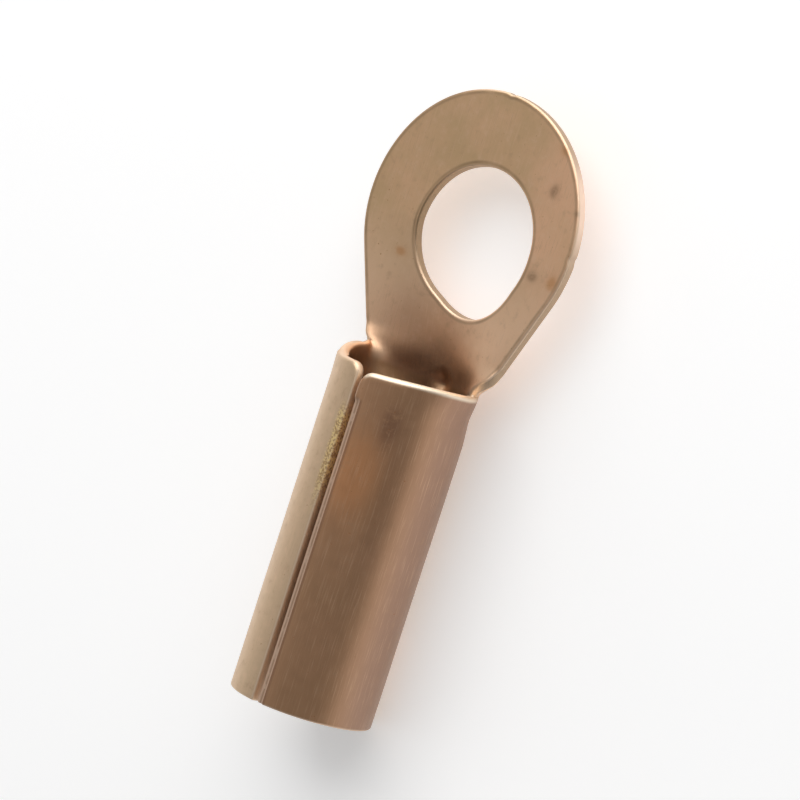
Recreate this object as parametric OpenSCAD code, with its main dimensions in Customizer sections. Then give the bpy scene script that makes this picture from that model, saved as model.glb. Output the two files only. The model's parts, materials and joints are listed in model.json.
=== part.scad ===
// Open-barrel ring lug: one blank of sheet copper, punched to a teardrop ring with a stud hole,
// then rolled at the other end to a barrel whose two wings meet in a seam on top.
//
// The origin is on the stud hole's axis, at the palm: the flat face that beds on the terminal.
// +Y points to the ring's tip, +Z to the seam side. Lengths are in millimetres.

/* [Sheet] */
// Thickness of the copper sheet
sheet_t = 1.0; // [0.8:0.1:1.2]

/* [Ring] */
// Diameter of the stud hole
hole_d = 12.5; // [10:0.5:13]
// How far the hole's lower rim was drawn out when the trough was pressed beside it
hole_pull = 0.5; // [0.2:0.1:0.7]
// Radius of the ring's round tip
ring_r = 11.5; // [11:0.25:13]
// How far the hole was punched to the right of the blank's centreline
hole_shift = 0.9; // [0:0.1:1.5]
// How far the tip's arc centre lies beyond the hole
tip_shift = 1.2; // [0.5:0.1:2]
// Lean of each side of the tongue, from the ring down to the barrel
side_lean = 23; // [18:0.5:24]

/* [Barrel] */
// Outer diameter of the rolled barrel
barrel_od = 12.6; // [12:0.1:13.2]
// Length of the barrel, from its mouth to the cable end
barrel_len = 30; // [28:0.5:34]
// Distance from the stud hole's axis back to the barrel's mouth
mouth_back = 12.6; // [12:0.1:14]
// Height of the barrel's axis above the palm
axis_rise = 2.4; // [2.2:0.1:3]

/* [Throat] */
// How far inside the mouth the barrel's floor starts to rise
ramp_in = 4.5; // [3.5:0.5:6]
// Share of the rise that eases in and out, where 0 is a straight ramp
ramp_ease = 0.15; // [0:0.05:1]
// Widening of the lower barrel at the mouth, on each side
mouth_flare = 0.5; // [0:0.1:0.8]
// Length over which the barrel widens
flare_len = 2.5; // [2:0.5:3.5]
// How far the tongue's edges lie below the ring at the mouth
edge_drop = 0.4; // [0:0.1:0.6]
// How far beyond the mouth the trough has lost the barrel's round section
spread_len = 3; // [1.5:0.5:5]
// Length of the notch that frees each side of the tongue from the wings
notch_len = 0.6; // [0.4:0.1:1.5]

/* [Seam] */
// Gap between the two wings
seam_gap = 0.4; // [0.3:0.1:0.8]
// Radius of each wing's corner where the seam meets the mouth
corner_r = 1.0; // [0.6:0.1:1.4]
// How far the right wing's front edge falls back by the time it reaches the seam
wing_fall = 0.5; // [0:0.1:0.8]

/* [Wire stop] */
// Width of the punched dimple
stop_w = 2.4; // [1.8:0.1:2.8]
// Depth of the punched dimple
stop_depth = 0.45; // [0.3:0.05:0.5]
// How far the dimple was punched to the right of the blank's centreline
stop_shift = 0.3; // [0:0.1:1]

/* [Hidden] */

$fn = 96;
copper = [0.68, 0.51, 0.39];

// The middle of the sheet's thickness is what gets bent, so the formed sizes are worked out on it
mid_r = (barrel_od - sheet_t) / 2;
tongue_z = sheet_t / 2 - axis_rise;
bore_r = mid_r - sheet_t / 2;

// Where the tip's arc has its centre, and where the tongue's straight sides touch it
arc_y = mouth_back + tip_shift;
touch_y = arc_y - ring_r * sin(side_lean);

// Radius of the hole's drawn-out rim, and its direction from the hole's centre
drawn_r = 0.83 * hole_d / 2;
drawn_turn = -93;

// How far round the barrel the tongue is joined to it, and the half-width of its root there
root_angle = acos(edge_z(0) / floor_z(0));
root_w = (mid_r + mouth_flare) * sin(root_angle);

// Fineness of the formed sheet: angular step of the throat, columns from the trough's floor to its
// edge, and steps along each
arc_step = 5;
half_cols = 14;
throat_steps = 12;
trough_steps = 24;

// How far to the left of the tube's lowest line the two ends of its round face meet. It changes no
// surface, only where the tube is cut into facets, and it was picked so that the lug comes to rest.
join_turn = 6;

// Margin by which a cutting tool runs past what it cuts, and one by which joined faces differ
past = 1;
hair = 0.02;

// ---- Rules of the formed sheet -------------------------------------------------------------
// In these, y is measured from the mouth, x from the blank's centreline and z from the barrel's
// axis. An angle is taken from the barrel's floor, and is negative on the left.

function mix(a, b, share) = a + (b - a) * share;

// A share that leaves 0 and reaches 1 without a crease
function ease(u) = let (c = min(1, max(0, u))) c * c * (3 - 2 * c);

// How far the floor has risen from the round barrel to the flat ring, which it meets abreast of
// the stud hole's centre
function rise(y) = let (run = (y + ramp_in) / (ramp_in + mouth_back)) mix(run, ease(run), ramp_ease);

// Height of the sheet's middle along the bottom of the barrel, throat and trough
function floor_z(y) = mix(-mid_r, tongue_z, rise(y));

// Half-width of the tongue: straight sides that are tangent to the tip's arc, drawn in at the mouth
// by the notch that frees them from the wings
function side_w(y) = ring_r / cos(side_lean) - (arc_y - y) * tan(side_lean);
function tongue_w(y) = y < touch_y
    ? side_w(y) - (side_w(0) - root_w) * pow(max(0, 1 - y / notch_len), 2)
    : sqrt(ring_r * ring_r - (arc_y - y) * (arc_y - y));

// How far the barrel has opened: most at the mouth and low down, not at all near the seam
function opened(y, angle) = mouth_flare * ease(1 + y / flare_len) * ease((150 - abs(angle)) / 80);

// The barrel's section up to the mouth: a point on the sheet's middle, and the direction in which
// the sheet runs through it. The upper half stays round, and the lower half becomes flatter.
function throat_curve(y, angle) =
    let (
        half_w = mid_r + opened(y, angle),
        depth = abs(angle) < 90 ? -floor_z(y) : mid_r
    )
    [
        [half_w * sin(angle), -depth * cos(angle)],
        [half_w * cos(angle), depth * sin(angle)]
    ];

// Height of the sheet's middle along the tongue's edges
function edge_z(y) = tongue_z - edge_drop * (1 - ease(y / mouth_back));

// Height of the sheet's middle in the trough, at a share of the way from its floor to its edge.
// It leaves the mouth on the barrel's own section, and becomes a bell curve that fades out
// towards the ring.
function trough_z(y, share) =
    let (
        steep = pow(edge_z(y) / floor_z(y), 2),
        round_z = floor_z(y) * sqrt(1 - (1 - steep) * share * share),
        bell_z = mix(edge_z(y), floor_z(y), pow(cos(90 * share), 2))
    )
    mix(round_z, bell_z, ease(y / spread_len));

function trough_curve(y, share) =
    let (
        near = 0.005,
        climb = trough_z(y, share + near) - trough_z(y, share - near)
    )
    [
        [tongue_w(y) * share, trough_z(y, share)],
        [tongue_w(y) * 2 * near, climb]
    ];

// Half the sheet's thickness, a hair less where the throat's facets end on the barrel's true circles
function half_t(y) = sheet_t / 2 - (y > -ramp_in ? 0 : hair);

// A point on the sheet's upper or lower skin, half a thickness off its middle: up is 1 or -1
function off_middle(y, curve, up) =
    let (out = [-curve[1][1], curve[1][0]] / norm(curve[1]) * up * half_t(y))
    [curve[0][0] + out[0], y, curve[0][1] + out[1]];

// ---- Construction ---------------------------------------------------------------------------

// A stretch of formed sheet, skinned over a grid of curve points: rows along the lug, and columns
// across it
module formed_sheet(stations, curves) {
    rows = len(stations);
    cols = len(curves[0]);
    points = [
        for (up = [1, -1], r = [0 : rows - 1], curve = curves[r]) off_middle(stations[r], curve, up)
    ];
    function at(up, row, col) = (up > 0 ? 0 : rows * cols) + row * cols + col;
    upper = [
        for (r = [0 : rows - 2], c = [0 : cols - 2]) each [
            [at(1, r, c), at(1, r + 1, c), at(1, r + 1, c + 1)],
            [at(1, r, c), at(1, r + 1, c + 1), at(1, r, c + 1)]
        ]
    ];
    lower = [
        for (r = [0 : rows - 2], c = [0 : cols - 2]) each [
            [at(-1, r, c), at(-1, r + 1, c + 1), at(-1, r + 1, c)],
            [at(-1, r, c), at(-1, r, c + 1), at(-1, r + 1, c + 1)]
        ]
    ];
    left = [
        for (r = [0 : rows - 2]) each [
            [at(1, r, 0), at(-1, r, 0), at(-1, r + 1, 0)],
            [at(1, r, 0), at(-1, r + 1, 0), at(1, r + 1, 0)]
        ]
    ];
    right = [
        for (r = [0 : rows - 2], c = [cols - 1]) each [
            [at(1, r, c), at(-1, r + 1, c), at(-1, r, c)],
            [at(1, r, c), at(1, r + 1, c), at(-1, r + 1, c)]
        ]
    ];
    near_end = [
        for (c = [0 : cols - 2]) [at(1, 0, c), at(1, 0, c + 1), at(-1, 0, c + 1), at(-1, 0, c)]
    ];
    far_end = [
        for (c = [0 : cols - 2], r = [rows - 1])
            [at(1, r, c), at(-1, r, c), at(-1, r, c + 1), at(1, r, c + 1)]
    ];
    polyhedron(points, concat(upper, lower, left, right, near_end, far_end), convexity = 6);
}

// The last stretch of barrel before the mouth, where the floor rises and the wings open out
module throat() {
    // The wings end just short of each other, so that the seam's cut leaves clean edges
    last = 180 - asin(seam_gap / 4 / mid_r);
    angles = concat(-last, [for (a = [arc_step - 180 : arc_step : 180 - arc_step]) a], last);
    stations = [for (i = [0 : throat_steps]) ramp_in * (i / throat_steps - 1)];
    formed_sheet(stations, [for (y = stations) [for (angle = angles) throat_curve(y, angle)]]);
}

// The trough beyond the mouth, which runs out abreast of the stud hole's centre
module trough() {
    // Both are closest together where the sheet bends most, at the sides and near the mouth
    shares = [for (i = [-half_cols : half_cols]) sin(root_angle * i / half_cols) / sin(root_angle)];
    stations = [for (i = [0 : trough_steps]) mouth_back * pow(i / trough_steps, 1.5)];
    formed_sheet(stations, [for (y = stations) [for (share = shares) trough_curve(y, share)]]);
}

// The straight rolled barrel, from the throat back to the cable end
module barrel_tube() {
    translate([0, -ramp_in, 0]) rotate([90, 90 + join_turn, 0]) difference() {
        cylinder(r = barrel_od / 2, h = barrel_len - ramp_in);
        translate([0, 0, -past]) cylinder(r = bore_r, h = barrel_len + past);
    }
}

// The flat part of the ring, from abreast of the stud hole's centre to the round tip
module ring_tip() {
    translate([0, arc_y, tongue_z - sheet_t / 2]) linear_extrude(sheet_t) intersection() {
        circle(r = ring_r);
        translate([-ring_r - past, -tip_shift]) square(2 * (ring_r + past));
    }
}

// What is missing of the wings: a straight gap between them, opened by their rounded corners, and
// a sliver along the right wing's front edge
module seam_cut() {
    linear_extrude(barrel_od) {
        translate([-seam_gap / 2, -barrel_len - past])
            square([seam_gap, barrel_len + 2 * past]);
        polygon([[0, past], [barrel_od / 2, 0], [0, -wing_fall]]);
        for (side = [-1, 1]) rounded_corner(side, side > 0 ? wing_fall : 0);
    }
}

// The waste outside one wing's round corner
module rounded_corner(side, fall) {
    difference() {
        translate([(side - 1) / 2 * (seam_gap / 2 + corner_r), -fall - corner_r])
            square([seam_gap / 2 + corner_r, fall + corner_r + past]);
        translate([side * (seam_gap / 2 + corner_r), -fall - corner_r]) circle(r = corner_r);
    }
}

// The wire stop is punched at the mouth, square to the sloping floor
module at_stop() {
    slope = atan((floor_z(1) - floor_z(-1)) / 2);
    translate([stop_shift, 0, floor_z(0)]) rotate([slope, 0, 0]) children();
}

// A round bulge of the given width and height on the sheet's face at z = 0
module cap(width, height) {
    ball_r = (width * width / 4 + height * height) / (2 * height);
    translate([0, 0, ball_r - height]) sphere(r = ball_r);
}

module stop_bulge() {
    at_stop() intersection() {
        translate([0, 0, -sheet_t / 2]) cap(stop_w + sheet_t / 2, stop_depth);
        translate([-stop_w, -stop_w, -sheet_t]) cube([2 * stop_w, 2 * stop_w, sheet_t]);
    }
}

module stop_dent() {
    at_stop() translate([0, 0, sheet_t / 2]) cap(stop_w, stop_depth);
}

// The stud hole: round, but for its lower rim, which was drawn out towards the barrel
module stud_hole() {
    translate([0, 0, -barrel_od / 2]) {
        cylinder(d = hole_d, h = barrel_od);
        rotate([0, 0, drawn_turn]) translate([hole_d / 2 + hole_pull - drawn_r, 0, 0])
            cylinder(r = drawn_r, h = barrel_od);
    }
}

module lug() {
    color(copper) difference() {
        translate([-hole_shift, -mouth_back, axis_rise]) difference() {
            union() {
                barrel_tube();
                throat();
                trough();
                ring_tip();
                stop_bulge();
            }
            seam_cut();
            stop_dent();
        }
        stud_hole();
    }
}

lug();
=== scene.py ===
"""Open-barrel ring lug of sheet copper: its blank is punched flat, then rolled and bent to form.

The flat blank is a plate with rolled-over edges. A Geometry Nodes tree bends it to the barrel, the
throat, the trough-shaped neck and the flat ring, by the same rules as the solid it stands for.
Blank coordinates: across is the distance from the blank's centreline, positive to the right, and
along is the distance from the barrel's mouth, positive towards the ring's tip. Metres throughout.
"""

import json
import math

import bpy
import numpy as np
from mathutils import Matrix, Vector


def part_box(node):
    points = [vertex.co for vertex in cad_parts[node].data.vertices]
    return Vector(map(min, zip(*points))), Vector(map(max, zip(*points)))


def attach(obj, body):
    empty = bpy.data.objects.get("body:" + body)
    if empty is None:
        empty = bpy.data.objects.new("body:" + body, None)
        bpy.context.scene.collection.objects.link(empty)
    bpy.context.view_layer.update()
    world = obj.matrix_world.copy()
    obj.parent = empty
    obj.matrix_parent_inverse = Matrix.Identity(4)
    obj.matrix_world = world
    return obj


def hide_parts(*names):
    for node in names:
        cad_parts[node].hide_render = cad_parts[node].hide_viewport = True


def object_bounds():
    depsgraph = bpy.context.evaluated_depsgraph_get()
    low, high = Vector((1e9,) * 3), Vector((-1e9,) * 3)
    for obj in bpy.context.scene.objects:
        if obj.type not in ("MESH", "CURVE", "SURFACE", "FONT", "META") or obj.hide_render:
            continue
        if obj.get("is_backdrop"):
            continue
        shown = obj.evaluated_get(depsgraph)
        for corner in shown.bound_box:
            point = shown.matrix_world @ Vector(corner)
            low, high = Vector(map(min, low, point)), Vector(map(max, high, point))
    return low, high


MM = 0.001

# ---- Sizes ------------------------------------------------------------------------------------

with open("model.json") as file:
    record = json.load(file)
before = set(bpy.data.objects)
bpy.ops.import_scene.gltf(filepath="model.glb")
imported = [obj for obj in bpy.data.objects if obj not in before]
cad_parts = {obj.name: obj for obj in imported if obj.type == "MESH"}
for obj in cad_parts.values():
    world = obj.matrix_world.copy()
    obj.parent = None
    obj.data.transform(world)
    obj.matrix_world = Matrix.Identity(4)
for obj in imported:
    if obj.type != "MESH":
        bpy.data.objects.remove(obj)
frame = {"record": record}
cad_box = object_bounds()

mounts = {mount["name"]: mount for mount in frame["record"]["mounts"]}
low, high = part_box("lug")

stud_r = mounts["stud_hole"]["dims"]["r_mm"] * MM
bore_r = mounts["cable_socket"]["dims"]["r_mm"] * MM
centre_x, _, axis_z = mounts["cable_socket"]["pos_m"]
outer_r = high.z - axis_z
sheet_t = outer_r - bore_r
mid_r = (outer_r + bore_r) / 2
ring_r = (high.x - low.x) / 2
ramp_in = 4.5 * MM
barrel_len = mounts["cable_socket"]["dims"]["length_mm"] * MM + ramp_in
mouth_y = low.y + barrel_len

hole_across = -centre_x
hole_along = -mouth_y
arc_along = high.y - ring_r - mouth_y

# Bending, as on the solid but for the trough's edges and the mouth's left corner
ramp_ease = 0.15
mouth_flare = 0.5 * MM
flare_len = 2.5 * MM
edge_drop = 0.4 * MM
spread_len = 3 * MM
edge_spread = 1.8 * MM
left_ahead = 1.1 * MM
side_lean = math.radians(23)
seam_gap = 0.4 * MM
corner_r = 1.0 * MM
wing_fall = 0.5 * MM
ring_z = sheet_t / 2 - axis_z

# The wire stop's dimple, a little wider and deeper than on the solid
stop_r = 1.35 * MM
stop_depth = 0.5 * MM
stop_across = 0.3 * MM

# How far the sheared edges are rolled over: along the wings' front, the seam and all else
front_roll = 0.42 * MM
seam_roll = 0.15 * MM
plain_roll = 0.22 * MM

# The hole's lower rim was drawn out to a tighter arc when the neck was bent
hole_pull = 0.5 * MM
drawn_r = 0.83 * stud_r
drawn_turn = math.radians(-72)
drawn_blend = 0.06 * MM

# The lip that the press raised along the right wing's seam edge
lip_w = 0.6 * MM
lip_height = 0.24 * MM
lip_start = 2.7 * MM

# Rolled sheet is never quite true
waviness = 0.04 * MM
waver_len = 7 * MM

# Spacing of the blank's mesh, points along a spoke of the ring, and points measured at a time
fine = 0.25 * MM
spoke_steps = 26
batch = 2000


# ---- Nodes ------------------------------------------------------------------------------------


class Value:
    """A socket of a node tree. Arithmetic on it adds Math nodes to the tree."""

    def __init__(self, graph, socket):
        self.graph = graph
        self.socket = socket

    def __add__(self, other):
        return self.graph.maths("ADD", self, other)

    def __radd__(self, other):
        return self.graph.maths("ADD", other, self)

    def __sub__(self, other):
        return self.graph.maths("SUBTRACT", self, other)

    def __rsub__(self, other):
        return self.graph.maths("SUBTRACT", other, self)

    def __mul__(self, other):
        return self.graph.maths("MULTIPLY", self, other)

    def __rmul__(self, other):
        return self.graph.maths("MULTIPLY", other, self)

    def __truediv__(self, other):
        return self.graph.maths("DIVIDE", self, other)

    def __rtruediv__(self, other):
        return self.graph.maths("DIVIDE", other, self)

    def __pow__(self, other):
        return self.graph.maths("POWER", self, other)

    def __neg__(self):
        return self.graph.maths("MULTIPLY", self, -1)

    def __abs__(self):
        return self.graph.maths("ABSOLUTE", self)

    def __lt__(self, other):
        return self.graph.maths("LESS_THAN", self, other)

    def __gt__(self, other):
        return self.graph.maths("GREATER_THAN", self, other)


class Graph:
    """Adds nodes to one tree, for geometry or for a material."""

    def __init__(self, tree):
        self.tree = tree

    def add(self, kind, settings=None, values=None, output=0):
        """A node of this kind. Its settings are made before its sockets are fed."""
        node = self.tree.nodes.new(kind)
        for name, setting in (settings or {}).items():
            if name == "stops":
                set_stops(node.color_ramp, setting)
            else:
                setattr(node, name, setting)
        for name, value in (values or {}).items():
            self.feed(node.inputs[name], value)
        return Value(self, node.outputs[output]) if node.outputs else node

    def feed(self, socket, value):
        if isinstance(value, Value):
            self.tree.links.new(value.socket, socket)
        else:
            socket.default_value = value

    def maths(self, operation, *values):
        return self.add("ShaderNodeMath", {"operation": operation}, dict(enumerate(values)))

    def vector(self, operation, *values):
        output = "Value" if operation in ("LENGTH", "DISTANCE", "DOT_PRODUCT") else "Vector"
        settings = {"operation": operation}
        return self.add("ShaderNodeVectorMath", settings, dict(enumerate(values)), output)

    def combine(self, x, y, z):
        return self.add("ShaderNodeCombineXYZ", None, {"X": x, "Y": y, "Z": z})

    def split(self, vector):
        first = self.add("ShaderNodeSeparateXYZ", None, {"Vector": vector})
        return [Value(self, socket) for socket in first.socket.node.outputs]


def set_stops(ramp, stops):
    while len(ramp.elements) > 1:
        ramp.elements.remove(ramp.elements[-1])
    for place, colour in stops:
        stop = ramp.elements.new(place)
        stop.color = colour
    ramp.elements.remove(ramp.elements[0])


def mix(a, b, share):
    return a + (b - a) * share


def clamped(value):
    """A value held between 0 and 1."""
    if isinstance(value, Value):
        return value.graph.maths("MINIMUM", value.graph.maths("MAXIMUM", value, 0), 1)
    return np.clip(value, 0, 1)


def ease(value):
    """A share that leaves 0 and reaches 1 without a crease."""
    share = clamped(value)
    return share * share * (3 - 2 * share)


# ---- The flat blank ---------------------------------------------------------------------------

wing_across = math.pi * mid_r - seam_gap / 2


def side_line(along):
    """Half-width of the tongue by its straight sides, which are tangent to the tip's arc."""
    return ring_r / math.cos(side_lean) - (arc_along - along) * math.tan(side_lean)


def even(start, end, spacing):
    """Values from start to end, both included, about this far apart."""
    return np.linspace(start, end, max(2, round(abs(end - start) / spacing) + 1))


def edge_steps(roll):
    """Distances from a sheared edge at which its roll-over needs points."""
    return roll * (1 - np.cos(np.radians([0, 18, 36, 54, 72, 90])))


def mouth_line(across):
    """How far the mouth's left corner, where wing and tongue meet, lies ahead of the mouth."""
    return left_ahead * ease((-across - 1 * MM) / (5 * MM)) * ease((across + 15 * MM) / (7 * MM))


def wing_front(across):
    """How far the wings' front edge lies behind the mouth."""
    turn = np.abs(across) / mid_r
    to_seam = np.clip(wing_across - np.abs(across), 0, corner_r)
    rounded = corner_r - np.sqrt(corner_r**2 - (corner_r - to_seam) ** 2)
    fallen = np.where((across > 0) & (turn > math.pi / 2), wing_fall * (1 - np.sin(turn)), 0)
    return rounded + fallen - mouth_line(across)


def barrel_grid():
    """Rows and columns of the barrel's part of the blank, drawn in at the wings' front edges."""
    root = even(-side_line(left_ahead), side_line(0), fine)
    lip = wing_across - lip_w - 0.2 * MM
    rim = np.concatenate(
        [
            even(lip, wing_across - front_roll, 0.3 * fine)[:-1],
            (wing_across - edge_steps(front_roll))[::-1],
        ]
    )
    left, right = even(-root[0], lip, fine)[1:-1], even(root[-1], lip, fine)[1:-1]
    columns = np.concatenate([-rim[::-1], -left[::-1], root, right, rim])
    cable = edge_steps(plain_roll) - barrel_len
    rows = np.concatenate([cable, even(cable[-1], -front_roll, 1.3 * fine)[1:-1]])
    rows = np.concatenate([rows, -edge_steps(front_roll)[::-1]])
    across, along = np.meshgrid(columns, rows)
    along = along - wing_front(across) * ease(1 + along / (4 * MM))
    return np.stack([across, along], axis=-1), root


def tongue_outline():
    """The blank's edge from the root's right end, round the tip, to its left end."""
    touch = arc_along - ring_r * math.sin(side_lean)
    right, left = even(0, touch, fine), even(left_ahead, touch, fine)
    right = np.stack([side_line(right), right], axis=-1)
    left = np.stack([-side_line(left), left], axis=-1)[::-1]
    turns = even(-side_lean, math.pi + side_lean, fine / ring_r)[1:-1]
    tip = np.stack([ring_r * np.cos(turns), arc_along + ring_r * np.sin(turns)], axis=-1)
    return np.concatenate([right, nicked(tip), left])


def nicked(tip):
    """The tip's arc with the knocks that its edge has taken."""
    turns = np.arctan2(tip[:, 1] - arc_along, tip[:, 0])
    depth = sum(
        size * np.exp(-(((turns - math.radians(turn)) * ring_r / width) ** 2))
        for turn, size, width in ((89, 0.1 * MM, 0.3 * MM), (-1, 0.12 * MM, 0.25 * MM))
    )
    return tip - depth[:, None] * np.stack([np.cos(turns), np.sin(turns)], axis=-1)


def hole_rim(turn):
    """Reach of the stud hole's rim: round, but for its drawn-out part, which it meets softly."""
    off = stud_r + hole_pull - drawn_r
    aside = turn - drawn_turn
    drawn = off * np.cos(aside) + np.sqrt(drawn_r**2 - (off * np.sin(aside)) ** 2)
    extra = drawn - stud_r
    return stud_r + (extra + np.sqrt(extra**2 + drawn_blend**2)) / 2


def ring_grid(root):
    """Spokes from the stud hole's rim to the tongue's outline and to the root, closed to a loop."""
    across_root = np.stack([root, mouth_line(root)], axis=-1)[1:-1]
    outline = tongue_outline()
    outer = np.concatenate([outline, across_root])
    centre = np.array([hole_across, hole_along])
    spoke = outer - centre
    spoke_len = np.linalg.norm(spoke, axis=1)
    spoke = spoke / spoke_len[:, None]
    turn = np.arctan2(spoke[:, 1], spoke[:, 0])
    rim = hole_rim(turn)
    # The roll-over's points are measured square to the edge, which the spokes meet at a slant
    along_edge = np.roll(outer, -1, axis=0) - np.roll(outer, 1, axis=0)
    along_edge = along_edge / np.linalg.norm(along_edge, axis=1)[:, None]
    square = np.abs(spoke[:, 0] * along_edge[:, 1] - spoke[:, 1] * along_edge[:, 0]).clip(0.5)
    near_rim = rim[:, None] + edge_steps(plain_roll)
    near_edge = spoke_len[:, None] - (edge_steps(plain_roll) / square[:, None])[:, ::-1]
    between = np.linspace(0, 1, spoke_steps)[1:-1]
    middle = mix(near_rim[:, -1:], near_edge[:, :1], between)
    reach = np.concatenate([near_rim, middle, near_edge], axis=1)
    return centre + spoke[:, None] * reach[:, :, None]


def quads(rows, columns, closed=False):
    """Faces of a grid of points, row by row. A closed one joins its last row to its first."""
    row = np.arange(rows if closed else rows - 1)[:, None]
    column = np.arange(columns - 1)[None, :]
    after = (row + 1) % rows
    here, there = row * columns + column, after * columns + column
    return np.stack([here, here + 1, there + 1, there], axis=-1).reshape(-1, 4)


def edge_gap(points, cuts):
    """Distance from each point to the nearest of the cut edges."""
    start, run = cuts[:, 0], cuts[:, 1] - cuts[:, 0]
    nearest = np.empty(len(points))
    for first in range(0, len(points), batch):
        to_point = points[first : first + batch, None] - start[None]
        share = ((to_point * run).sum(-1) / (run * run).sum(-1)).clip(0, 1)
        gap = np.linalg.norm(to_point - share[..., None] * run, axis=-1)
        nearest[first : first + batch] = gap.min(axis=1)
    return nearest


def roll_over(along):
    """Radius of the sheared edge at this distance along the blank."""
    behind = mix(seam_roll, front_roll, ease((along + 2 * MM) / (1.2 * MM)))
    ahead = mix(front_roll, plain_roll, ease(along / (2 * MM)))
    return np.where(along < 0, behind, ahead)


def flat_blank():
    """The punched plate: both skins of the blank, closed along its rolled-over edges."""
    barrel, root = barrel_grid()
    ring = ring_grid(root)
    points = np.concatenate([barrel.reshape(-1, 2), ring.reshape(-1, 2)])
    faces = np.concatenate(
        [
            quads(*barrel.shape[:2]),
            quads(*ring.shape[:2], closed=True) + barrel.shape[0] * barrel.shape[1],
        ]
    )
    _, first, same = np.unique(
        np.round(points, 8), axis=0, return_index=True, return_inverse=True
    )
    points, faces = points[first], same.reshape(-1)[faces]
    # Every face looks up, whichever way round its grid was counted
    a, b, c = (points[faces[:, i]] for i in range(3))
    area = (b - a)[:, 0] * (c - a)[:, 1] - (b - a)[:, 1] * (c - a)[:, 0]
    faces[area < 0] = faces[area < 0][:, ::-1]

    sides = np.stack([faces, np.roll(faces, -1, axis=1)], axis=-1).reshape(-1, 2)
    _, back, uses = np.unique(
        np.sort(sides, axis=1), axis=0, return_inverse=True, return_counts=True
    )
    cut = sides[uses[back.reshape(-1)] == 1]

    gap = edge_gap(points, points[cut])
    roll = roll_over(points[:, 1])
    inside = (roll - gap).clip(0)
    half_t = sheet_t / 2 - roll + np.sqrt((roll**2 - inside**2).clip(0))

    count = len(points)
    skins = [np.column_stack([points, half_t * side]) for side in (1, -1)]
    rim = np.column_stack([cut[:, 1], cut[:, 0], cut[:, 0] + count, cut[:, 1] + count])
    mesh = bpy.data.meshes.new("lug_sheet")
    mesh.from_pydata(
        np.concatenate(skins).tolist(),
        [],
        np.concatenate([faces, faces[:, ::-1] + count, rim]).tolist(),
    )
    values = {"across": points[:, 0], "along": points[:, 1], "gap": gap}
    values = {name: np.tile(value, 2) for name, value in values.items()}
    values["upper"] = np.repeat([1.0, 0.0], count)
    for name, value in values.items():
        attribute = mesh.attributes.new(name, "FLOAT", "POINT")
        attribute.data.foreach_set("value", value.astype(np.float32))
    return mesh


# ---- Bending ----------------------------------------------------------------------------------


def formed_middle(size, across, along):
    """Where a point of the blank's middle goes when the lug is formed: its x, y and z."""
    graph = across.graph
    maths = graph.maths

    # The floor rises from the round barrel to the flat ring
    run = clamped((along + size["Ramp start"]) / (size["Ramp start"] + size["Mouth to hole"]))
    rise = mix(run, ease(run), size["Ramp ease"])
    floor = mix(-size["Barrel radius"], size["Ring height"], rise)
    edge = size["Ring height"] - size["Edge drop"] * (1 - ease(along / size["Mouth to hole"]))

    # The barrel and its throat
    turn = across / size["Barrel radius"]
    low_down = ease((math.radians(150) - abs(turn)) / math.radians(80))
    half_w = size["Barrel radius"] + size["Mouth flare"] * ease(
        1 + along / size["Flare length"]
    ) * low_down
    depth = mix(size["Barrel radius"], -floor, abs(turn) < math.pi / 2)
    barrel_x = half_w * maths("SINE", turn)
    barrel_z = -depth * maths("COSINE", turn)

    # The trough leaves the barrel's section at its root, and spreads to a bell that fades out
    to_arc = arc_along - along
    arc_w = maths("SQRT", maths("MAXIMUM", ring_r**2 - to_arc * to_arc, MM**2))
    side = side_line(along)
    share = across / mix(arc_w, side, to_arc > ring_r * math.sin(side_lean))
    on_tongue = 1 - ease((abs(across) - side) / (1.5 * MM))
    bell = maths("COSINE", clamped(abs(share)) * (math.pi / 2)) ** 2
    round_w = size["Barrel radius"] + size["Mouth flare"]
    wide = ease(along / size["Edge spread"]) * on_tongue
    trough_x = mix(round_w * maths("SINE", turn), across, wide)
    flat = ease(along / size["Spread length"]) * on_tongue
    trough_z = mix(floor * maths("COSINE", turn), mix(edge, floor, bell), flat)

    # The dimple is pressed down where both meet
    aside = (across - size["Stop place"]) / size["Stop radius"]
    ahead = along / size["Stop radius"]
    dimple = maths("MAXIMUM", 1 - aside * aside - ahead * ahead, 0) ** 1.5

    behind = along < 0.001 * MM
    x = mix(trough_x, barrel_x, behind)
    z = mix(trough_z, barrel_z, behind) - size["Stop depth"] * dimple
    return graph.combine(x, along, z)


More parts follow.
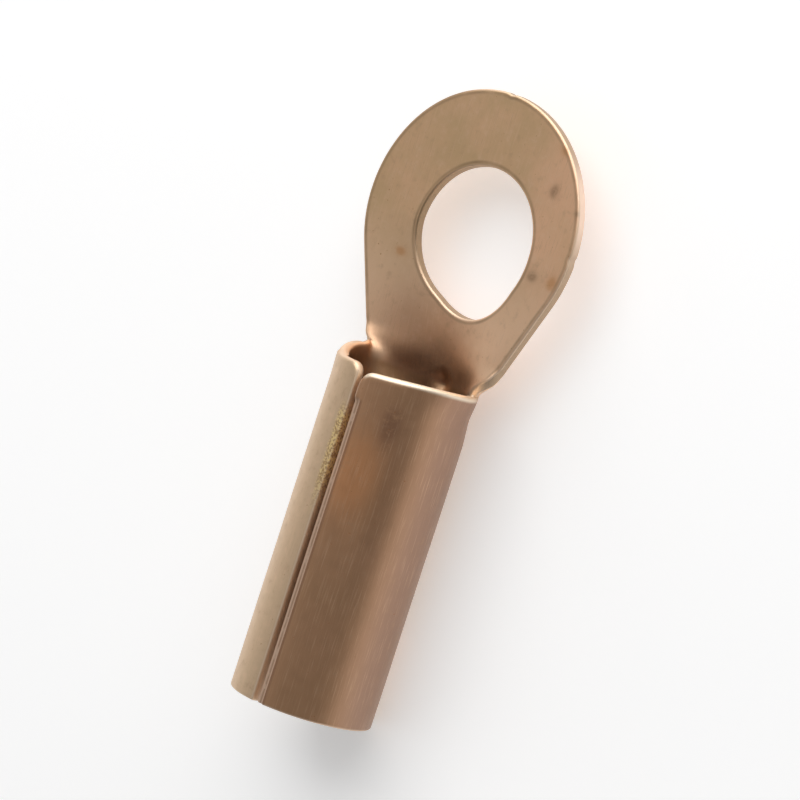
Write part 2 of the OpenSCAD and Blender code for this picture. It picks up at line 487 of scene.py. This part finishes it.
def forming_tree(sizes):
    """The tree that bends the flat blank, with its sizes as named inputs."""
    tree = bpy.data.node_groups.new("form_the_lug", "GeometryNodeTree")
    tree.interface.new_socket("Geometry", in_out="INPUT", socket_type="NodeSocketGeometry")
    tree.interface.new_socket("Geometry", in_out="OUTPUT", socket_type="NodeSocketGeometry")
    kinds = {name: "NodeSocketFloat" for name in sizes} | {"Copper": "NodeSocketMaterial"}
    sockets = {
        name: tree.interface.new_socket(name, in_out="INPUT", socket_type=kind)
        for name, kind in kinds.items()
    }
    graph = Graph(tree)
    given = graph.add("NodeGroupInput").socket.node.outputs
    size = {name: Value(graph, given[name]) for name in sizes}

    across, along, out = graph.split(graph.add("GeometryNodeInputPosition"))
    step = 0.01 * MM
    here = formed_middle(size, across, along)
    to_right = graph.vector("SUBTRACT", formed_middle(size, across + step, along), here)
    ahead = graph.vector("SUBTRACT", here, formed_middle(size, across, along - step))
    normal = graph.vector("NORMALIZE", graph.vector("CROSS_PRODUCT", to_right, ahead))

    # The sheet wavers, and its lip stands up
    place = graph.combine(across, along, 0)
    noise = {"Vector": place, "Scale": 1 / waver_len, "Detail": 1.0, "Roughness": 0.4}
    waver = graph.add("ShaderNodeTexNoise", {"noise_dimensions": "2D"}, noise) - 0.5
    on_lip = ease((across - (wing_across - size["Lip width"])) / (0.15 * MM) + 0.5)
    lip = on_lip * ease((-along - size["Lip start"]) / (0.5 * MM))
    lift = out + waver * size["Waviness"] + lip * size["Lip height"]
    raised = graph.add(
        "ShaderNodeVectorMath", {"operation": "SCALE"}, {"Vector": normal, "Scale": lift}
    )
    bent = graph.vector("ADD", here, raised)

    moved = graph.add(
        "GeometryNodeSetPosition",
        None,
        {"Geometry": Value(graph, given["Geometry"]), "Position": bent},
    )
    placed = graph.add(
        "GeometryNodeTransform",
        None,
        {"Geometry": moved, "Translation": (centre_x, mouth_y, axis_z)},
    )
    smooth = graph.add("GeometryNodeSetShadeSmooth", None, {"Geometry": placed})
    whole = graph.add("GeometryNodeRealizeInstances", None, {"Geometry": smooth})
    finished = graph.add(
        "GeometryNodeSetMaterial",
        None,
        {"Geometry": whole, "Material": Value(graph, given["Copper"])},
    )
    graph.feed(tree.nodes.new("NodeGroupOutput").inputs[0], finished)
    return tree, sockets


def lug_sheet(copper):
    """The formed lug, as a plain mesh."""
    sizes = {
        "Barrel radius": mid_r,
        "Mouth flare": mouth_flare,
        "Flare length": flare_len,
        "Ramp start": ramp_in,
        "Ramp ease": ramp_ease,
        "Mouth to hole": hole_along,
        "Ring height": ring_z,
        "Edge drop": edge_drop,
        "Spread length": spread_len,
        "Edge spread": edge_spread,
        "Stop radius": stop_r,
        "Stop depth": stop_depth,
        "Stop place": stop_across,
        "Waviness": waviness,
        "Lip width": lip_w,
        "Lip height": lip_height,
        "Lip start": lip_start,
    }
    lug = bpy.data.objects.new("lug_sheet", flat_blank())
    bpy.context.scene.collection.objects.link(lug)
    tree, sockets = forming_tree(sizes)
    forming = lug.modifiers.new("forming", "NODES")
    forming.node_group = tree
    for name, value in (sizes | {"Copper": copper}).items():
        forming[sockets[name].identifier] = value
    depsgraph = bpy.context.evaluated_depsgraph_get()
    formed = bpy.data.meshes.new_from_object(lug.evaluated_get(depsgraph))
    lug.modifiers.remove(forming)
    lug.data = formed
    return lug


# ---- Copper -----------------------------------------------------------------------------------

# The copper's colours, in linear light: its sheet, the parts of the blank, some with painted light
# and shade, wear and tarnish, and painted highlights and shade along the sheared edges
tan, rose = (0.67, 0.45, 0.25), (0.89, 0.55, 0.34)
dark, rusty = (0.3, 0.17, 0.1), (0.62, 0.28, 0.1)
left_tone = (0.74, 0.55, 0.37)
right_wing_shade_tone = (0.5, 0.27, 0.155)
flank_shade_tone = (0.32, 0.21, 0.165)
neck_light_tone = (0.97, 0.67, 0.45)
trough_shade_tone = (0.62, 0.34, 0.2)
orange = (0.85, 0.38, 0.16)
scuff_tone = (0.26, 0.13, 0.08)
wing_band_shade_tone = (0.3, 0.17, 0.11)
tarnish = (0.5, 0.32, 0.2)
clean_tone = (0.93, 0.64, 0.44)
scratch_tone = (0.42, 0.26, 0.16)
mark_tone = (0.9, 0.62, 0.42)
speck_tone = (0.42, 0.19, 0.08)
shade_tone = (0.2, 0.12, 0.08)
edge_line_shade_tone = (0.3, 0.19, 0.11)
far_tone = (0.24, 0.16, 0.09)
edge_highlight_tone = (0.95, 0.76, 0.58)
front_highlight_tone = (1, 0.88, 0.7)
wall_tone = (0.38, 0.27, 0.17)
cut_face_glint_tone = (0.95, 0.74, 0.6)
lip_highlight_tone = (0.92, 0.7, 0.55)
groove_tone = (0.45, 0.26, 0.16)
crease_shadow_tone = (0.3, 0.16, 0.1)
torn_tone = (0.5, 0.31, 0.12)
golden_glint_tone = (0.93, 0.72, 0.33)


def near(across, along, place, size):
    """1 at a place on the blank, fading to 0 at about this distance across and along, in mm."""
    aside = (across - place[0] * MM) / (size[0] * MM)
    ahead = (along - place[1] * MM) / (size[1] * MM)
    return 1 / (1 + (aside * aside + ahead * ahead) ** 2)


def copper_finish():
    """Bare rolled copper, handled and lightly tarnished, with painted highlights on its sheared
    edges and painted light and shade on parts of it.
    """
    material = bpy.data.materials.new("copper")
    material.use_nodes = True
    graph = Graph(material.node_tree)
    surface = material.node_tree.nodes["Principled BSDF"]
    surface.inputs["Metallic"].default_value = 1.0

    def blank(name):
        return graph.add("ShaderNodeAttribute", {"attribute_name": name}, None, "Fac")

    across, along, gap, upper = (blank(name) for name in ("across", "along", "gap", "upper"))
    place = graph.combine(across, along, 0)
    solid = graph.add("ShaderNodeTexCoord", None, None, "Object")

    def noise(where, grain, detail=2.0, roughness=0.5):
        values = {"Scale": 1 / (grain * MM), "Detail": detail, "Roughness": roughness}
        return graph.add("ShaderNodeTexNoise", None, {"Vector": where} | values)

    def above(value, start, end):
        return ease((value - start) / (end - start))

    def blend(colour, other, share):
        settings = {"data_type": "RGBA", "clamp_factor": True}
        node = graph.add("ShaderNodeMix", settings, None, 2).socket.node
        graph.feed(node.inputs[0], share)
        for socket, value in ((node.inputs[6], colour), (node.inputs[7], other)):
            graph.feed(socket, value if isinstance(value, Value) else (*value, 1))
        return Value(graph, node.outputs[2])

    # Rolling marks run the length of the blank
    rolled = graph.combine(across / 0.12, along / 3.5, 0)
    marks = noise(rolled, 1.0, 3.0, 0.6)
    scratched = graph.combine(across / 0.05, along / 2.2, 3 * MM)
    scratches = above(noise(scratched, 1.0, 1.0), 0.62, 0.72)
    cloud = noise(place, 6.0, 3.0, 0.55)
    mottle = noise(solid, 0.9, 4.0, 0.6)
    grime = noise(solid, 0.35, 3.0, 0.6)

    on_barrel = above(-along, -0.3 * MM, 0.3 * MM)
    left_wing = on_barrel * above(-across, 8 * MM, 13 * MM)
    right_wing = on_barrel * above(across, 3 * MM, 8 * MM)
    right_side = above(across, 1 * MM, 8 * MM) * (1 - on_barrel)
    flank = on_barrel * above(across, 2 * MM, 6 * MM) * above(-across, -13 * MM, -9 * MM)

    colour = blend(tan, rose, clamped(0.2 + 0.6 * right_side + 2 * (cloud - 0.5)))
    # Tones by part of the blank: the left wing paler and greyer, with painted shade on the right
    # wing and on the barrel's right flank
    colour = blend(colour, left_tone, 0.8 * left_wing)
    colour = blend(colour, right_wing_shade_tone, 0.8 * right_wing)
    colour = blend(colour, flank_shade_tone, 0.7 * flank)
    # Painted light over the neck, and painted shade in the trough's left part by the mouth
    tongue = above(-along, -15 * MM, -5 * MM) * (1 - on_barrel)
    colour = blend(colour, neck_light_tone, 0.75 * tongue)
    trough = near(across, along, (-2.5, 3), (5, 4))
    colour = blend(colour, trough_shade_tone, 0.65 * trough)
    colour = blend(colour, orange, 0.55 * near(across, along, (16, -9), (2, 3.5)))
    scuff = near(across, along, (14.4, -4.2), (0.8, 1.7)) * above(mottle, 0.3, 0.5)
    colour = blend(colour, scuff_tone, 0.6 * scuff)
    # Painted shade: a darker lengthwise band along the middle of the right wing
    colour = blend(colour, wing_band_shade_tone, 0.25 * near(across, along, (12.9, -10), (0.9, 8)))

    # Tarnish, in thin clouds and as specks
    colour = blend(colour, tarnish, 0.4 * above(mottle, 0.52, 0.8))
    clean = above(1 - mottle, 0.5, 0.75) * (1 - right_wing)
    colour = blend(colour, clean_tone, 0.25 * clean)
    colour = blend(colour, scratch_tone, 0.35 * scratches * above(cloud, 0.4, 0.6))
    colour = blend(colour, mark_tone, 0.35 * above(marks, 0.5, 0.8))
    specks = above(grime, 0.68, 0.76)
    colour = blend(colour, speck_tone, 0.7 * specks)
    spots = [
        (dark, (7.7, 18.6), (0.42, 0.55)),
        (dark, (8.2, 11.3), (0.5, 0.4)),
        (dark, (10.9, 17.5), (0.4, 0.25)),
        (rusty, (7.7, 22.2), (0.6, 0.45)),
        (rusty, (10.4, 11.3), (0.5, 0.6)),
        (rusty, (-6.4, 9.5), (0.5, 0.35)),
    ]
    for spot_colour, spot, size in spots:
        stain = near(across, along, spot, size) * above(mottle, 0.25, 0.5)
        colour = blend(colour, spot_colour, 0.6 * stain)

    shaded = upper * above(-along, -1.6 * MM, 0.4 * MM) * above(-across, 5.5 * MM, 7.5 * MM)
    colour = blend(colour, shade_tone, 0.75 * shaded)

    # The sheared edges: a painted highlight on the rolled-over line, and a painted shadow line in
    # patches just inside it
    line = above(0.55 * MM - gap, 0, 0.25 * MM) * above(gap, 0.12 * MM, 0.3 * MM)
    line_patches = clamped(0.35 + 0.9 * (noise(solid, 2.5) - 0.4)) * above(along, 0.5 * MM, 3 * MM)
    colour = blend(colour, edge_line_shade_tone, line * line_patches)
    bright = above(0.2 * MM - gap, 0, 0.15 * MM)
    # Along the ring's left side the rolled-over line is dark instead of highlighted
    far_side = above(-across, 2 * MM, 6 * MM) * above(along, 2 * MM, 5 * MM)
    colour = blend(colour, far_tone, 0.7 * bright * far_side)
    bright = bright * (1 - far_side)
    colour = blend(colour, edge_highlight_tone, 0.65 * bright)
    # Painted highlight along the right wing's front edge
    front = above(0.5 * MM - gap, 0, 0.3 * MM) * above(along, -1.2 * MM, -0.8 * MM) * right_wing
    colour = blend(colour, front_highlight_tone, 0.85 * front)
    wall = above(0.02 * MM - gap, 0, 0.015 * MM) * above(along, 0.5 * MM, 2 * MM)
    colour = blend(colour, wall_tone, 0.75 * wall)
    # Painted glint on the cut face along the ring's right side
    cut_face_glint = near(across, along, (10.5, 18), (3, 3.5))
    colour = blend(colour, cut_face_glint_tone, wall * cut_face_glint)

    # The press's lip along the right wing gets a painted highlight, with a painted shadow in the
    # crease beside it; the left wing's seam edge is rough, with painted golden glints
    lip = above(across, wing_across - lip_w - 0.05 * MM, wing_across - lip_w + 0.1 * MM)
    lip = lip * above(-along, lip_start, lip_start + 0.4 * MM)
    colour = blend(colour, lip_highlight_tone, 0.6 * lip)
    middle = 1 - above(abs(across - wing_across + 0.33 * MM), 0.04 * MM, 0.12 * MM)
    colour = blend(colour, groove_tone, 0.7 * lip * middle * above(mottle, 0.3, 0.5))
    # Painted shadow in the crease beside the lip
    crease = above(across, wing_across - 0.95 * MM, wing_across - 0.75 * MM) * (1 - lip)
    crease = crease * above(-along, lip_start, lip_start + 0.4 * MM)
    colour = blend(colour, crease_shadow_tone, 0.6 * crease)
    burr = noise(solid, 0.2, 2.0)
    seam = above(-across, wing_across - 0.6 * MM - 0.5 * MM * burr, wing_across - 0.4 * MM)
    torn = seam * above(-along, 3 * MM, 5 * MM) * above(along, -14 * MM, -9 * MM)
    colour = blend(colour, torn_tone, 0.8 * torn * above(1 - burr, 0.45, 0.6))
    # Painted golden glints where the seam edge's noise is high
    colour = blend(colour, golden_glint_tone, 0.85 * torn * above(burr, 0.45, 0.6))

    surface_height = 0.5 * marks + 0.6 * mottle - 1.2 * specks + 3 * torn - 0.4 * scratches
    bump = graph.add(
        "ShaderNodeBump",
        None,
        {"Strength": 0.5, "Distance": 0.012 * MM, "Height": surface_height},
    )
    rough = 0.3 + 0.16 * mottle + 0.08 * marks + 0.15 * specks + 0.12 * bright + 0.1 * torn
    graph.feed(surface.inputs["Base Color"], colour)
    graph.feed(surface.inputs["Roughness"], rough)
    graph.feed(surface.inputs["Normal"], bump)
    return material


# ---- Studio -----------------------------------------------------------------------------------


def floor():
    """A plain white floor under the lug."""
    material = bpy.data.materials.new("floor")
    material.use_nodes = True
    surface = material.node_tree.nodes["Principled BSDF"]
    surface.inputs["Base Color"].default_value = (0.94, 0.94, 0.94, 1)
    surface.inputs["Emission Color"].default_value = (1, 1, 1, 1)
    surface.inputs["Emission Strength"].default_value = 0.3
    surface.inputs["Roughness"].default_value = 0.9
    bpy.ops.mesh.primitive_plane_add(size=4, location=(0, 0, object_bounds()[0].z))
    plane = bpy.context.object
    plane.name = "floor"
    plane.data.materials.append(material)
    plane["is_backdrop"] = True


def soft_box(name, direction, distance, size, power):
    """An area light that looks at the lug from this direction."""
    light = bpy.data.lights.new(name, "AREA")
    light.shape = "RECTANGLE"
    light.size, light.size_y = size
    light.energy = power
    box = bpy.data.objects.new(name, light)
    bpy.context.scene.collection.objects.link(box)
    aim = Vector(direction).normalized()
    box.location = target + aim * distance
    box.rotation_euler = (-aim).to_track_quat("-Z", "Y").to_euler()


def studio_light():
    """Dim all round: a broad light above the ring's tip, a low one beyond, two weak ones left."""
    world = bpy.data.worlds.new("studio")
    world.use_nodes = True
    sky = world.node_tree.nodes["Background"]
    sky.inputs["Color"].default_value = (1, 1, 1, 1)
    sky.inputs["Strength"].default_value = 0.24
    bpy.context.scene.world = world
    soft_box("key", (0, 0.78, 0.62), 0.5, (0.8, 0.6), 2.6)
    soft_box("beyond", (0, 1, 0.22), 0.5, (0.6, 0.18), 0.45)
    soft_box("upper_left", (-0.62, -0.25, 0.72), 0.5, (0.55, 0.45), 0.16)
    soft_box("left", (-1, 0, 0.24), 0.5, (0.6, 0.22), 0.17)


def camera():
    """Looks down on the ring from its right, with the lug's tip turned up."""
    yaw, pitch, roll = (math.radians(angle) for angle in (38.6, 5, 18))
    flat = math.cos(pitch)
    toward = Vector((math.sin(yaw) * flat, math.sin(pitch), math.cos(yaw) * flat))
    level = Vector((math.cos(yaw), 0, -math.sin(yaw)))
    right = level * math.cos(roll) + toward.cross(level) * math.sin(roll)
    lens = bpy.data.cameras.new("camera")
    lens.lens = 180
    shot = bpy.data.objects.new("camera", lens)
    bpy.context.scene.collection.objects.link(shot)
    view_w = 68 * MM
    distance = view_w * lens.lens / lens.sensor_width
    axes = Matrix((right, toward.cross(right), toward)).transposed().to_4x4()
    shot.matrix_world = Matrix.Translation(target + toward * distance) @ axes
    bpy.context.scene.camera = shot


target = (cad_box[0] + cad_box[1]) / 2

copper = copper_finish()
lug = lug_sheet(copper)
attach(lug, "root")
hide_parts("lug")

floor()
studio_light()

camera()
bpy.context.scene.view_settings.view_transform = "Standard"
